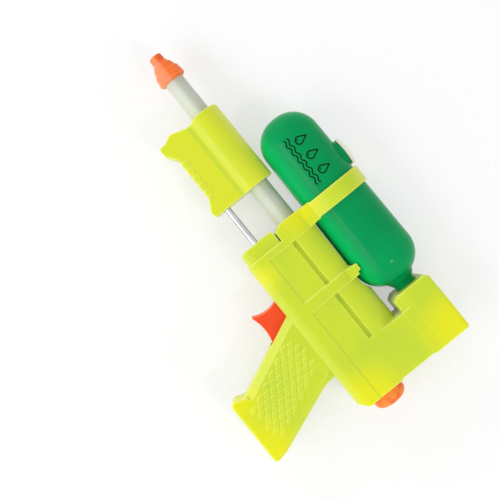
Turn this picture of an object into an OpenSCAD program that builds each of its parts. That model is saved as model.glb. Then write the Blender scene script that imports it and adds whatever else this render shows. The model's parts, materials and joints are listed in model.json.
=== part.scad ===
// Mini water squirter, lying on its right side.
// Pieces are drawn in the toy's own lines: x runs from the muzzle to the rear, y from the barrel axis up to
// the tank, z out of the left side. placed() then lays the toy on z = 0 with its box centred on the origin.

/* [Nozzle and barrel] */
// Radius of the nozzle's front spigot
spigot_r = 1.7; // [1.4:0.1:2.2]
// Length of the nozzle's front spigot
spigot_l = 1.95; // [1.5:0.05:4]
// Radius of the jet hole
jet_r = 0.5; // [0.3:0.05:0.8]
// Length of the nozzle's cone
cone_l = 2.9; // [2:0.1:5]
// Radius of the nozzle's rear flange
flange_r = 3.65; // [3.4:0.05:4.4]
// Length of the nozzle's rear flange, with its chamfer
flange_l = 3.0; // [2:0.1:5]
// Barrel tube's outer radius at the nozzle
barrel_r = 2.55; // [2.2:0.05:2.7]
// Barrel tube's outer radius at its rear end
barrel_r_rear = 2.75; // [2.6:0.05:3]
// Barrel tube's wall
barrel_wall = 0.6; // [0.4:0.05:0.9]
// Barrel tube that shows between the nozzle and the body
barrel_l = 43.9; // [43.9:0.1:70]
// Barrel tube inside the body
barrel_in = 14.0; // [11:0.5:15]

/* [Body] */
// Half of the body's width
body_hw = 6.2; // [5.8:0.1:7.5]
// Wall of the body, the handle and the grip
wall = 1.1; // [0.8:0.05:1.3]
// Depth of the body below the barrel axis
body_drop = 15.0; // [14.6:0.1:17]
// Radius of the body's lower edges
edge_r = 3.0; // [1.5:0.1:3.5]
// Length of the front block and the collar's front part
front_l = 3.5; // [3:0.1:6]
// Length of the rib behind the front block
rib_l = 1.9; // [1.2:0.1:3]
// Length of the round housing behind the rib
house_l = 29.9; // [29.9:0.1:40]
// Length of the rear block
block_l = 12.7; // [12.2:0.1:18]
// How far the collar, the rib and the band stand out
proud = 0.3; // [0.1:0.05:0.6]
// Depth of the side groove under the round housing
groove_d = 0.9; // [0.4:0.05:1]
// Width of the side groove
groove_w = 1.2; // [0.8:0.1:2]
// Distance of the second band behind the rib
band_gap = 13.2; // [10:0.1:15]
// Length of the second band
band_l = 3.0; // [2:0.1:5]
// Height of the tank's seat over the barrel axis
seat_y = 4.5; // [4.4:0.05:4.8]
// Chamfer at the foot of the rear block
foot_chamfer = 2.0; // [0.5:0.1:3]
// Depth of the side panels' lower edge below the barrel axis
panel_drop = 9.75; // [9:0.05:11]

/* [Grip] */
// Half of the grip's width
grip_hw = 4.6; // [4:0.1:5.5]
// Depth of the grip's foot below the barrel axis
grip_drop = 39.4; // [36:0.1:46]
// Width of the grip at its foot
foot_w = 18.6; // [16:0.1:22]
// Distance of the grip's front edge behind the rib
grip_gap = 13.0; // [12.5:0.1:14]
// Width of the grip at its neck
neck_w = 19.2; // [17:0.1:21]
// Slant of the grip: how far its foot stands behind its neck
slant = 7.9; // [5:0.1:10]
// Width of the diamonds on the grip, with their gap
diamond_w = 1.95; // [1.6:0.05:2.4]
// Length of the diamonds, with their gap
diamond_l = 3.3; // [2.6:0.1:4]
// Gap between the diamonds
diamond_gap = 0.46; // [0.2:0.01:0.7]
// Height of the diamonds on the grip
diamond_h = 0.2; // [0.15:0.05:0.4]

/* [Tank] */
// Tank radius at its front end
tank_r = 7.85; // [7:0.05:8.3]
// Tank radius at its rear end
tank_r_rear = 8.3; // [7.8:0.05:9]
// How far the tank's front end stands ahead of the strap
tank_lead = 21.6; // [17:0.1:22]
// Wall of the tank
tank_wall = 0.9; // [0.6:0.05:1.2]
// Radius of the curve at both tank ends
dome_r = 7.2; // [5:0.1:7.4]
// Outer radius of the tank neck
neck_r = 2.8; // [2.5:0.05:3.2]
// Wall of the tank neck
neck_wall = 0.9; // [0.6:0.05:1.1]
// Tank neck that shows between the tank and its socket
neck_gap = 2.1; // [1:0.1:4]
// Height of the neck socket over the neck's axis
socket_r = 5.15; // [4.6:0.05:5.8]
// Length of the neck socket in front of the rear block
socket_l = 4.0; // [3.4:0.1:6]
// Width of the strap over the tank
strap_w = 4.4; // [3:0.1:5]
// Thickness of the strap
strap_t = 0.6; // [0.5:0.05:1]
// Distance of the filler's middle ahead of the strap
filler_gap = 4.45; // [4:0.05:6]
// Radius of the filler hole
filler_r = 3.0; // [2.9:0.05:3.2]
// Radius of the filler plug's head
plug_r = 3.65; // [3.5:0.05:4]
// Thickness of the filler plug's head
plug_t = 1.0; // [0.8:0.05:2]
// Height of the boss round the filler hole
boss_h = 0.5; // [0.2:0.05:1]

/* [Pump] */
// Distance of the pump rod below the barrel axis
pump_drop = 9.7; // [9.5:0.05:10]
// Radius of the pump rod
rod_r = 0.85; // [0.6:0.05:1]
// Radius of the pump's bore
bore_r = 2.2; // [2:0.05:2.3]
// Wall of the pump cylinder
tube_wall = 0.6; // [0.4:0.05:0.7]
// How far the handle slides towards the nozzle
travel_out = 9.8; // [6:0.1:9.8]
// Length of the piston
piston_l = 2.6; // [2:0.1:3]
// Radius of the inlet ball
inlet_ball_r = 1.1; // [0.9:0.05:1.2]
// Radius of the outlet ball
outlet_ball_r = 1.0; // [0.8:0.05:1.1]

/* [Handle] */
// Gap between the handle and the body
handle_gap = 11.0; // [11:0.1:14]
// Length of the handle
handle_l = 22.6; // [21:0.1:24]
// Radius of the handle round the barrel
handle_round = 5.0; // [4.8:0.05:5.1]
// Half of the width of the handle's lower part
handle_hw = 3.8; // [3.5:0.05:4.2]
// Depth of the handle's horns below the barrel axis
handle_drop = 13.5; // [13:0.1:15]
// Pitch of the finger bumps
bump_pitch = 2.2; // [2:0.05:2.4]

/* [Trigger and valve] */
// Length of the trigger at the body
trigger_l = 11.0; // [10.5:0.1:11.5]
// How far the trigger stands ahead of the grip
trigger_lead = 5.2; // [5:0.1:5.8]
// Half of the trigger's width
trigger_hw = 2.5; // [2:0.1:3]
// Travel of the trigger
trigger_travel = 2.0; // [1:0.1:2.4]
// Depth of the trigger's tip below the barrel axis
trigger_drop = 21.9; // [20:0.1:24]
// Radius of the trigger's concave front
trigger_curve = 7.7; // [6:0.1:12]
// Radius of the valve body
valve_r = 2.6; // [2.4:0.05:2.8]
// Thickness of the trigger's fork
fork_t = 0.8; // [0.6:0.05:0.9]
// Length of the trigger spring
spring_l = 4.5; // [4:0.1:5]
// Coil radius of the trigger spring
spring_r = 1.3; // [1:0.05:1.6]
// Wire radius of the trigger spring
wire_r = 0.2; // [0.15:0.01:0.25]

/* [Hoses, cap and screws] */
// Outer radius of the hose
hose_r = 1.5; // [1.3:0.05:1.6]
// Inner radius of the hose
hose_in = 0.9; // [0.7:0.05:1]
// Distance of the upright hose behind the rear block's front face
hose_set = 6.05; // [6.05:0.05:6.5]
// Radius of the hose's bend
hose_bend = 4.0; // [3.5:0.1:4.5]
// Radius of the rear cap
cap_r = 4.4; // [3.8:0.05:4.8]
// How far the rear cap stands out
cap_l = 3.8; // [2.5:0.1:5]
// Radius of the screw shanks
screw_r = 0.6; // [0.5:0.05:0.7]
// Radius of the screw heads
screw_head_r = 1.15; // [1:0.05:1.25]

/* [Fits] */
// Radial clearance of a sliding fit
slide_fit = 0.08; // [0.05:0.01:0.1]
// Radial clearance of a seated fit
seat_fit = 0.03; // [0.01:0.01:0.05]
// Clearance between pieces that must not touch
gap = 0.25; // [0.2:0.01:0.3]

/* [Hidden] */
$fn = 64;

// Colours
shell_c = [0.80, 0.87, 0.19];
tank_c = [0.0, 0.62, 0.34];
orange_c = [1.0, 0.45, 0.2];
trigger_c = [0.93, 0.32, 0.16];
pale_c = [0.85, 0.88, 0.83];
plug_c = [0.92, 0.9, 0.8];
steel_c = [0.75, 0.76, 0.78];
rubber_c = [0.12, 0.12, 0.13];

// Nozzle and barrel, along x
nozzle_l = spigot_l + cone_l + flange_l;
nozzle_chamfer = 0.6;
nozzle_grip = 3.6;
tube_x = nozzle_l - nozzle_grip;

// Body, along x
body_x = nozzle_l + barrel_l;
rib_x = body_x + front_l;
house_x = rib_x + rib_l;
block_x = house_x + house_l;
rear_x = block_x + block_l;
tube_end = body_x + barrel_in;
house_y = -0.35;
floor_y = -body_drop;
inside_floor = floor_y + wall;
inside_hw = body_hw - wall;
inside_rear = rear_x - wall;
block_in = block_x + wall;
cavity_x = house_x + wall;
groove_y = -1.6;
band_x = house_x + band_gap;
panel_y = -panel_drop;
slit_y = -4.6;
slit_w = 0.4;

// Tank
tank_y = seat_y + gap + tank_r_rear;
strap_x = body_x + (front_l + rib_l - strap_w) / 2;
socket_x = block_x - socket_l;
neck_in = 2.2;
neck_end = block_x + neck_in;
tank_rear = socket_x - neck_gap;
tank_x = strap_x - tank_lead;
tank_l = tank_rear - tank_x;
plug_x = strap_x - filler_gap;
function tank_at(x) = tank_r + (tank_r_rear - tank_r) * (x - tank_x - dome_r) / (tank_l - 2 * dome_r);
strap_in = tank_at(strap_x + strap_w) + seat_fit * 4;
strap_out = strap_in + strap_t;
boss_top = tank_y + tank_at(plug_x) + boss_h;
block_top = tank_y + socket_r;
shoulder_y = tank_y - socket_r - 0.5;
socket_slope = 0.5;
crease_y = shoulder_y + 3.0;
plug_stem = 2.6;
pickup_r = 0.9;
pickup_bend = 3.0;
pickup_x = tank_rear - 4;

// Grip
grip_x = house_x + grip_gap;
grip_foot = grip_x + slant;
foot_h = 4.0;
front_bevel = 1.9;
rear_bevel = 1.2;
diamond_turn = 25.3;

// Handle
handle_end = body_x - handle_gap;
handle_x = handle_end - handle_l;
handle_floor = -11.4;
handle_y = -0.55;
handle_top = handle_y + handle_round;
leg_x = handle_x + 9.1;
leg_top = -5.6;
rod_bend = 1.5;

// Pump and valve
pump_y = -pump_drop;
travel_in = handle_gap - 0.6;
gland_wall = 1.2;
gland_flange = 1.0;
gland_plug = 1.4;
gland_x = body_x + gland_wall;
tube_front = gland_x + gland_flange;
chamber_x = tube_front + gland_plug;
piston_x = chamber_x + gap + travel_out;
pump_end = piston_x + piston_l + travel_in + gap;
pump_r = bore_r + tube_wall;
head_r = pump_r + tube_wall;
head_grip = 2.5;
head_l = 5.6;
head_wall = 0.7;
riser_x = pump_end + head_wall + 0.8;
riser_r = outlet_ball_r + slide_fit + 0.7;
riser_top = -valve_r;
port_r = 0.6;
inlet_x = pump_end + head_l - 1.9;
outlet_y = pump_y + head_r + 0.2;
outlet_ball_y = outlet_y + sqrt(outlet_ball_r * outlet_ball_r - port_r * port_r) + seat_fit;
inlet_ball_x = inlet_x - sqrt(inlet_ball_r * inlet_ball_r - port_r * port_r) - seat_fit;
valve_seat = tube_end + 5.0;
chamber_r = 1.25;
stem_r = 0.6;
fork_in = valve_r + 0.4;
fork_out = fork_in + fork_t;
fork_h = 1.4;
hose_x = block_x + hose_set;
spring_rib = 1.0;
spring_end = hose_x - hose_r - gap - spring_rib;
spring_x = spring_end - spring_l;
bar_l = 1.6;
bar_x = spring_x - bar_l;
valve_gap = 1.4;
valve_end = bar_x - valve_gap;
hose_start = pump_end + head_l + gap;
trigger_x = grip_x - trigger_lead;
trigger_top = inside_floor + 0.15;
trigger_foot = 1.0;
trigger_end = trigger_x + trigger_l;
trigger_sole = 11;
foot_front = trigger_x + 1.3;
foot_rear = trigger_x + 8.8;
arm_x = trigger_x + 5.3;
arm_l = 3.5;

// Rear cap
cap_y = -7.4;
cap_hole = cap_r - 0.8;

// Screws: [x, y, half width of the shell there]
neck_screw = [15.6, -1.6];
foot_screw = [10, 2.2];
body_screws_at = [[rib_x + 1.0, slit_y - 0.2, body_hw + proud], [house_x + 8.6, slit_y - 0.2, body_hw],
    [inside_rear - 4.3, inside_floor + 1.7, body_hw], [inside_rear - 2.1, block_top - wall - 1.1, body_hw],
    [grip_x + neck_screw.x, floor_y + neck_screw.y, grip_hw],
    [grip_foot + foot_screw.x, foot_screw.y - grip_drop, grip_hw]];
handle_screws_at = [[handle_x + 5, -7.1, handle_hw], [handle_end - 5, -5.6, handle_hw]];
boss_r = 1.5;
screw_head_l = 0.8;
screw_sink = 0.5;
screw_tip = 2.4;

// The whole toy's box
end_x = rear_x + cap_l;
top_y = boss_top + plug_t;
mid_x = end_x / 2;
mid_y = (top_y - grip_drop) / 2;

module placed() translate([-mid_x, -mid_y, strap_out]) children();

// Round and square bars along each direction
module rod_x(r, x0, x1, y = 0, z = 0) translate([x0, y, z]) rotate([0, 90, 0]) cylinder(r = r, h = x1 - x0);
module rod_y(r, y0, y1, x, z = 0) translate([x, y0, z]) rotate([-90, 0, 0]) cylinder(r = r, h = y1 - y0);
module rod_z(r, z0, z1, x, y) translate([x, y, z0]) cylinder(r = r, h = z1 - z0);
module cone_x(r0, r1, x0, x1, y = 0) translate([x0, y, 0]) rotate([0, 90, 0])
    cylinder(r1 = r0, r2 = r1, h = x1 - x0);
module bar(x0, x1, y0, y1, z0, z1) translate([x0, y0, z0]) cube([x1 - x0, y1 - y0, z1 - z0]);
module ball(r, x, y) translate([x, y, 0]) sphere(r);
module sides() {
    children();
    mirror([0, 0, 1]) children();
}

// A side outline (x, y) as thick as z0 to z1
module plate(z0, z1) translate([0, 0, z0]) linear_extrude(z1 - z0) children();

// A section (y, z) as long as x0 to x1
module along(x0, x1) translate([x0, 0, 0]) rotate([90, 0, 90]) linear_extrude(x1 - x0) children();

// A profile (radius, distance) turned about the line at height y that runs along x
module turned(x0, y = 0) translate([x0, y, 0]) rotate([0, 90, 0]) rotate_extrude() children();
module ring(x, y, mid_r, cord_r) turned(x, y) translate([mid_r, 0]) circle(cord_r);

// Outline through points [x, y, corner radius], each corner a true arc
function unit(v) = v / norm(v);
function sum(v) = v * [for (i = v) 1];
function way_round(p) = sign(sum([for (i = [0:len(p) - 1]) cross(p[i], p[(i + 1) % len(p)])]));
module smooth(points) {
    n = len(points);
    xy = [for (p = points) [p.x, p.y]];
    way = way_round(xy);
    corners = [for (i = [0:n - 1]) let(a = xy[(i + n - 1) % n], b = xy[i], c = xy[(i + 1) % n],
        u = unit(a - b), v = unit(c - b), half = acos(u * v) / 2, r = points[i][2])
        [b + u * r / tan(half), b + v * r / tan(half), b + unit(u + v) * r / sin(half), r,
            way * sign(cross(b - a, c - b))]];
    difference() {
        union() {
            polygon([for (c = corners) for (k = [0, 1]) if (k == 0 || c[3] > 0) c[k]]);
            for (c = corners) if (c[3] > 0 && c[4] > 0) translate(c[2]) circle(c[3]);
        }
        for (c = corners) if (c[3] > 0 && c[4] < 0) translate(c[2]) circle(c[3]);
    }
}

// Sections of the body, in y and z
module housing_section(half, low, corner) {
    smooth([[low, -half, corner], [house_y, -half, 0], [house_y, half, 0], [low, half, corner]]);
    translate([house_y, 0]) circle(half);
}
module block_section(half, low, corner, high, top_r)
    smooth([[low, -half, corner], [high, -half, top_r], [high, half, top_r], [low, half, corner]]);

// Side outlines of the body
module block_outline() smooth([[block_x, floor_y, 0], [rear_x - foot_chamfer, floor_y, 0.6],
    [rear_x, floor_y + foot_chamfer * 1.1, 0.6], [rear_x, block_top, 0.9], [block_x, block_top, 0.7]]);
module grip_outline() smooth([[grip_x - 0.5, floor_y + 1.5, 0], [grip_foot + 1.4, foot_h - grip_drop, 1.5],
    [grip_foot, -grip_drop, 1.2], [grip_foot + foot_w, -grip_drop, 1.0],
    [grip_foot + foot_w - 0.5, foot_h - grip_drop - 0.4, 1.5], [grip_x + neck_w, floor_y - 3, 9],
    [grip_x + neck_w - 0.4, floor_y + 1.5, 0]]);
module grip_inside() smooth([[grip_x + wall + 1.4, floor_y - 1.6, 0.5],
    [grip_foot + wall + 2.7, foot_h - grip_drop, 1], [grip_foot + wall + 2, wall - grip_drop, 0.6],
    [grip_foot + foot_w - wall - 1, wall - grip_drop, 0.6],
    [grip_foot + foot_w - wall - 1.4, foot_h - grip_drop, 1],
    [grip_x + neck_w - wall - 0.6, floor_y - 3, 4], [grip_x + neck_w - wall - 1, inside_floor + 0.1, 0],
    [grip_x + wall + 0.6, inside_floor + 0.1, 0]]);

// Round housing with the pocket for the tank and the groove along its sides
module housing() difference() {
    along(house_x - 0.1, block_x + 0.1) housing_section(body_hw, floor_y, edge_r);
    plate(-body_hw - 1, body_hw + 1) smooth([[house_x - 1, seat_y, 0], [tank_rear - 5.2, seat_y, 1.5],
        [tank_rear - 2.4, body_hw + house_y + 0.2, 0], [tank_rear - 2.4, body_hw + 2, 0],
        [house_x - 1, body_hw + 2, 0]]);
    sides() bar(house_x, block_x - 0.2, groove_y - groove_w, groove_y, body_hw - groove_d, body_hw + 2);
}

// Rear block: its upper part, round the tank's socket, stands a little proud in two steps
module rear_block() {
    difference() {
        intersection() {
            plate(-body_hw, body_hw) block_outline();
            along(block_x, rear_x) block_section(body_hw, floor_y, edge_r, block_top, 1.2);
        }
        bar(rear_x - 0.35, rear_x + 1, cap_y + cap_r + 0.4, shoulder_y, -body_hw - 1, body_hw + 1);
    }
    for (step = [[shoulder_y, proud * 0.4], [crease_y, proud * 0.8]]) intersection() {
        plate(-body_hw - step[1], body_hw + step[1]) block_outline();
        along(block_x, rear_x) block_section(body_hw + step[1], step[0], 0, block_top, 1.2);
    }
}

// Front end of the rear block, round the tank's neck: its lower sides slope in, over a slot above the housing
module socket() intersection() {
    plate(-body_hw - proud, body_hw + proud) smooth([[socket_x, crease_y - 1.4, 0.3],
        [socket_x + 0.9, shoulder_y, 0.5], [block_x + 0.1, shoulder_y, 0], [block_x + 0.1, block_top - 0.2, 0],
        [socket_x + 0.9, block_top - 0.2, 0.5], [socket_x, block_top - 1.3, 0.3]]);
    along(socket_x - 1, block_x + 0.1) smooth([[shoulder_y, socket_slope - body_hw, 0.4],
        [crease_y + 0.3, -body_hw - proud * 0.8, 0.5], [block_top, -body_hw - proud * 0.8, 1.2],
        [block_top, body_hw + proud * 0.8, 1.2], [crease_y + 0.3, body_hw + proud * 0.8, 0.5],
        [shoulder_y, body_hw - socket_slope, 0.4]]);
}

// Lower strip along the body, under the side panels
module strip() intersection() {
    plate(-body_hw - proud, body_hw + proud) smooth([[rib_x, floor_y, 0],
        [rear_x - foot_chamfer, floor_y, 0.6], [rear_x, floor_y + foot_chamfer * 1.1, 0.6],
        [rear_x, panel_y, 0], [rib_x, panel_y, 0]]);
    along(rib_x, rear_x) housing_section(body_hw + proud, floor_y, edge_r);
}

module front_block() intersection() {
    plate(-body_hw, body_hw) smooth([[body_x, floor_y + 0.4, 1.4], [rib_x + 0.1, floor_y + 0.4, 0],
        [rib_x + 0.1, slit_y - slit_w / 2, 0], [body_x, slit_y - slit_w / 2, 0.8]]);
    along(body_x, rib_x + 0.1) block_section(body_hw - 0.4, floor_y + 0.4, edge_r, 0, 0);
}

// Collar round the barrel with the strap over the tank, and the rib behind the front block
module collar() difference() {
    union() {
        intersection() {
            plate(-body_hw - proud, body_hw + proud) smooth([[body_x, body_hw, 0],
                [body_x, slit_y + slit_w / 2 + 1.8, 0], [body_x + 1.1, slit_y + slit_w / 2, 0.6],
                [house_x, slit_y + slit_w / 2, 0], [house_x, body_hw, 0]]);
            along(body_x, house_x) housing_section(body_hw + proud, slit_y, 0.5);
        }
        along(rib_x, house_x) housing_section(body_hw + proud, floor_y, edge_r);
        rod_x(strap_out, strap_x, strap_x + strap_w, tank_y);
        bar(body_x + 0.2, house_x - 0.2, 0, seat_y + 2.2, 0.7 - body_hw, body_hw - 0.7);
    }
    rod_x(strap_in, body_x - 1, house_x + 1, tank_y);
}

// Second band, with an ear on each side of the tank
module band() difference() {
    union() {
        along(band_x, band_x + band_l) housing_section(body_hw + proud, panel_y - 0.5, 0.3);
        sides() plate(4.3, 5.6) smooth([[band_x, 0, 0], [band_x + band_l, 0, 0],
            [band_x + band_l, seat_y + 0.9, 0.2], [band_x + band_l * 0.75, seat_y + 0.9, 0],
            [band_x + band_l * 0.75, seat_y + 1.8, 0.3], [band_x + 0.3, seat_y + 1.8, 0.3]]);
    }
    rod_x(tank_at(band_x + band_l) + gap, band_x - 1, band_x + band_l + 1, tank_y);
}

// Wedge off the edge of a side outline, from before p to past q; the solid lies to the left where inward is 1
module edge_wedge(p, q, width, depth, inward, before, past) let(d = q - p)
    translate([p.x, p.y, grip_hw]) rotate([0, 0, atan2(d.y, d.x)]) rotate([90, 0, 90])
        translate([0, 0, -before]) linear_extrude(norm(d) + before + past)
            polygon([[inward * width, 0.01], [-inward, 0.01], [-inward, -depth], [0, -depth]]);

module grip() {
    difference() {
        plate(-grip_hw, grip_hw) grip_outline();
        sides() edge_wedge([grip_x - 0.5, floor_y + 1.5], [grip_foot + 1.4, foot_h - grip_drop],
            front_bevel, 1.2, 1, 6, -0.4);
        sides() edge_wedge([grip_x + neck_w, floor_y - 3],
            [grip_foot + foot_w - 0.5, foot_h - grip_drop - 0.4], rear_bevel, 0.9, -1, 6, 6);
        sides() edge_wedge([grip_foot, -grip_drop], [grip_foot + foot_w, -grip_drop], 0.45, 0.45, 1, 6, 6);
    }
    sides() plate(grip_hw - 0.1, grip_hw + diamond_h) diamonds();
}

// Field of raised diamonds, their long axes along the grip; its end rows are short
module diamonds() let(half_w = diamond_w / 2, half_l = diamond_l / 2,
    shrink = 1 - diamond_gap / 2 * norm([half_w, half_l]) / (half_w * half_l))
    translate([grip_x + 12.3, floor_y - 9.9]) rotate(diamond_turn)
        for (row = [-7:5]) for (col = [-2:2]) if (abs(row + 1) < 6 || sign(row) * col < 1)
            translate([(2 * col + abs(row % 2)) * half_w, row * half_l]) scale(shrink)
                polygon([[-half_w, 0], [0, -half_l], [half_w, 0], [0, half_l]]);

// Space inside the closed body; ribs, bosses and the thick wall behind the groove stay
module cavity() difference() {
    union() {
        intersection() {
            along(cavity_x, block_in + 0.1) housing_section(inside_hw, inside_floor, edge_r - wall);
            bar(cavity_x, block_in + 0.1, inside_floor - 1, seat_y - wall, -body_hw, body_hw);
        }
        intersection() {
            along(block_in, inside_rear)
                block_section(inside_hw, inside_floor, edge_r - wall, block_top - wall, 0.6);
            plate(-body_hw, body_hw) polygon([[block_in, inside_floor],
                [inside_rear - foot_chamfer * 0.9, inside_floor], [inside_rear, inside_floor + foot_chamfer],
                [inside_rear, block_top], [block_in, block_top]]);
        }
        plate(wall - grip_hw, grip_hw - wall) grip_inside();
    }
    rib(cavity_x + 3.5, 1.0, seat_y);
    rib(riser_x - 3.3, 1.0, -fork_h - 0.4);
    bar(spring_end, spring_end + spring_rib, -3, 3, -body_hw, body_hw);
    for (at = body_screws_at) rod_z(boss_r, -body_hw, body_hw, at.x, at.y);
    sides() bar(cavity_x - 1, block_in, groove_y - groove_w - 0.8, groove_y + 0.8, fork_out + gap, body_hw);
}

module rib(x, thick, high) bar(x, x + thick, inside_floor - 1, high, -body_hw, body_hw);

// Holes and seats that the inner pieces need in the halves
module seats() {
    rod_x(barrel_r_rear + seat_fit, body_x - 1, tube_end + 0.5);
    rod_x(valve_r + seat_fit, tube_end, valve_end + 0.5);
    rod_x(rod_r + slide_fit, body_x - 1, gland_x + 0.1, pump_y);
    rod_x(pump_r + seat_fit, gland_x, pump_end, pump_y);
    rod_x(head_r + seat_fit, pump_end - head_grip - gap, pump_end + head_l + gap, pump_y);
    rod_y(riser_r + seat_fit, pump_y, 0, riser_x);
    rod_x(neck_r + seat_fit, socket_x - 1, block_in + 0.1, tank_y);
    rod_x(neck_r + 0.85, socket_x + 1.6, socket_x + 2.6, tank_y);
    rod_x(cap_hole + seat_fit, inside_rear - 0.1, rear_x + 1, cap_y);
    bar(trigger_x - gap, trigger_end + trigger_travel + gap, -trigger_drop - 0.5, inside_floor + 0.1,
        -trigger_hw - slide_fit, trigger_hw + slide_fit);
}

module body_whole() difference() {
    union() {
        housing();
        rear_block();
        socket();
        strip();
        front_block();
        collar();
        band();
        grip();
    }
    cavity();
    seats();
}

// Screw holes and head recesses: at holds [x, y, half width of the shell there]
module screw_holes(at, tip) {
    rod_z(screw_r + seat_fit, -at[2] - 1, tip, at.x, at.y);
    rod_z(screw_head_r + slide_fit, -at[2] - 1, -at[2] + screw_sink + screw_head_l, at.x, at.y);
}

// One half of a shell, cut at the middle plane: side is 1 for the left and -1 for the right
module half_of(side) intersection() {
    children();
    bar(-1, end_x + 1, -grip_drop - 1, top_y + 1, side > 0 ? 0 : -strap_out - 1, side > 0 ? strap_out + 1 : 0);
}

module body_left() placed() color(shell_c) difference() {
    half_of(1) body_whole();
    for (at = body_screws_at) screw_holes(at, screw_tip + 0.3);
}

module body_right() placed() color(shell_c) difference() {
    half_of(-1) body_whole();
    for (at = body_screws_at) screw_holes(at, 1);
}

// Pan-head screw driven from the right side
module screw(at) difference() {
    union() {
        rod_z(screw_r, -at[2] + screw_sink, screw_tip, at.x, at.y);
        rod_z(screw_head_r, -at[2] + screw_sink, -at[2] + screw_sink + screw_head_l, at.x, at.y);
    }
    for (turn = [0, 90]) translate([at.x, at.y, -at[2] + screw_sink]) rotate([0, 0, turn])
        cube([screw_head_r * 1.3, 0.3, 0.7], center = true);
}
module body_screws() placed() color(steel_c) for (at = body_screws_at) screw(at);
module handle_screws() placed() color(steel_c) for (at = handle_screws_at) screw(at);

// Tank with its dome ends, neck and filler
module tank_profile(inset) {
    low = tank_r - dome_r;
    high = tank_r_rear - dome_r;
    r = dome_r - inset;
    polygon([[0, dome_r], [low + r, dome_r], [high + r, tank_l - dome_r], [0, tank_l - dome_r]]);
    translate([0, inset]) square([low, dome_r]);
    translate([0, tank_l - dome_r]) square([high, r]);
    intersection() {
        union() {
            translate([low, dome_r]) circle(r);
            translate([high, tank_l - dome_r]) circle(r);
        }
        square([tank_r_rear, tank_l]);
    }
}

module tank() placed() color(tank_c) difference() {
    union() {
        turned(tank_x, tank_y) tank_profile(0);
        rod_x(neck_r, tank_rear - 2, neck_end, tank_y);
        cone_x(neck_r + 1.3, neck_r, tank_rear - 0.7, tank_rear + 1.1, tank_y);
        rod_y(plug_r - 0.25, tank_y, boss_top, plug_x);
    }
    turned(tank_x, tank_y) tank_profile(tank_wall);
    rod_x(neck_r - neck_wall, tank_rear - 3, neck_end + 1, tank_y);
    rod_y(filler_r, tank_y, boss_top + 1, plug_x);
}

module filler_plug() placed() color(plug_c) difference() {
    union() {
        turned_y(boss_top, plug_x) smooth([[0, 0, 0], [plug_r, 0, 0], [plug_r, plug_t, 0.35], [0, plug_t, 0]]);
        rod_y(filler_r - slide_fit, boss_top - plug_stem, boss_top + 0.2, plug_x);
    }
    rod_y(filler_r - 0.9, boss_top - plug_stem - 1, boss_top - 0.3, plug_x);
}
module turned_y(y, x) translate([x, y, 0]) rotate([-90, 0, 0]) rotate_extrude() children();

// A quarter bend in the side plane, its centre at x, y, from the angle start on
module bend(x, y, start, bend_r) translate([x, y, 0]) rotate([0, 0, start]) rotate_extrude(angle = 90)
    translate([bend_r, 0]) children();

module pickup_path(r, spare) {
    rod_x(r, pickup_x, neck_end - neck_in - 0.5 + spare, tank_y);
    bend(pickup_x, tank_y - pickup_bend, 90, pickup_bend) circle(r);
    rod_y(r, tank_y - tank_r_rear + tank_wall + 0.9 - spare, tank_y - pickup_bend, pickup_x - pickup_bend);
}
module pickup_tube() placed() color(pale_c) difference() {
    pickup_path(pickup_r, 0);
    pickup_path(pickup_r - 0.35, 0.5);
}

module neck_seal() placed() color(rubber_c) ring(socket_x + 2.1, tank_y, neck_r + 0.42, 0.39);

module neck_fitting() placed() color(pale_c) difference() {
    union() {
        rod_x(neck_r - neck_wall - seat_fit, neck_end - neck_in - 1, neck_end, tank_y);
        rod_x(neck_r, neck_end, neck_end + 1.2, tank_y);
        rod_x(1.6, neck_end + 1.2, hose_x + 1.6, tank_y);
        rod_y(1.6, tank_y - 2.6, tank_y, hose_x);
        rod_y(hose_in - seat_fit, tank_y - 6.4, tank_y, hose_x);
    }
    rod_x(pickup_r + seat_fit, neck_end - neck_in - 1.1, neck_end - neck_in - 0.5, tank_y);
    rod_x(hose_in - 0.4, neck_end - neck_in - 1, hose_x, tank_y);
    rod_y(hose_in - 0.4, tank_y - 7, tank_y, hose_x);
}

// Suction hose from the neck fitting to the pump head
module hose_path(r, spare) {
    rod_y(r, pump_y + hose_bend, tank_y - 2.6 - gap + spare, hose_x);
    bend(hose_x - hose_bend, pump_y + hose_bend, -90, hose_bend) circle(r);
    rod_x(r, hose_start - spare, hose_x - hose_bend, pump_y);
}
module suction_hose() placed() color(pale_c) difference() {
    hose_path(hose_r, 0);
    hose_path(hose_in, 0.5);
}

module nozzle() placed() color(orange_c) difference() {
    turned(0) smooth([[0, 0, 0], [spigot_r, 0, 0.35], [spigot_r + 0.05, spigot_l, 0],
        [flange_r - 1.05, spigot_l + cone_l * 0.45, 0], [flange_r - 0.6, spigot_l + cone_l * 0.92, 0],
        [flange_r - 0.35, spigot_l + cone_l * 0.96, 0.1], [flange_r, nozzle_l - nozzle_chamfer, 0.25],
        [barrel_r + 0.3, nozzle_l, 0], [0, nozzle_l, 0]]);
    rod_x(barrel_r + seat_fit, tube_x, nozzle_l + 1);
    rod_x(jet_r, -1, tube_x + 1);
}

module barrel_tube() placed() color(pale_c) difference() {
    cone_x(barrel_r, barrel_r_rear, tube_x, tube_end);
    cone_x(barrel_r - barrel_wall, barrel_r_rear - barrel_wall, tube_x - 0.01, tube_end + 0.01);
}

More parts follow.
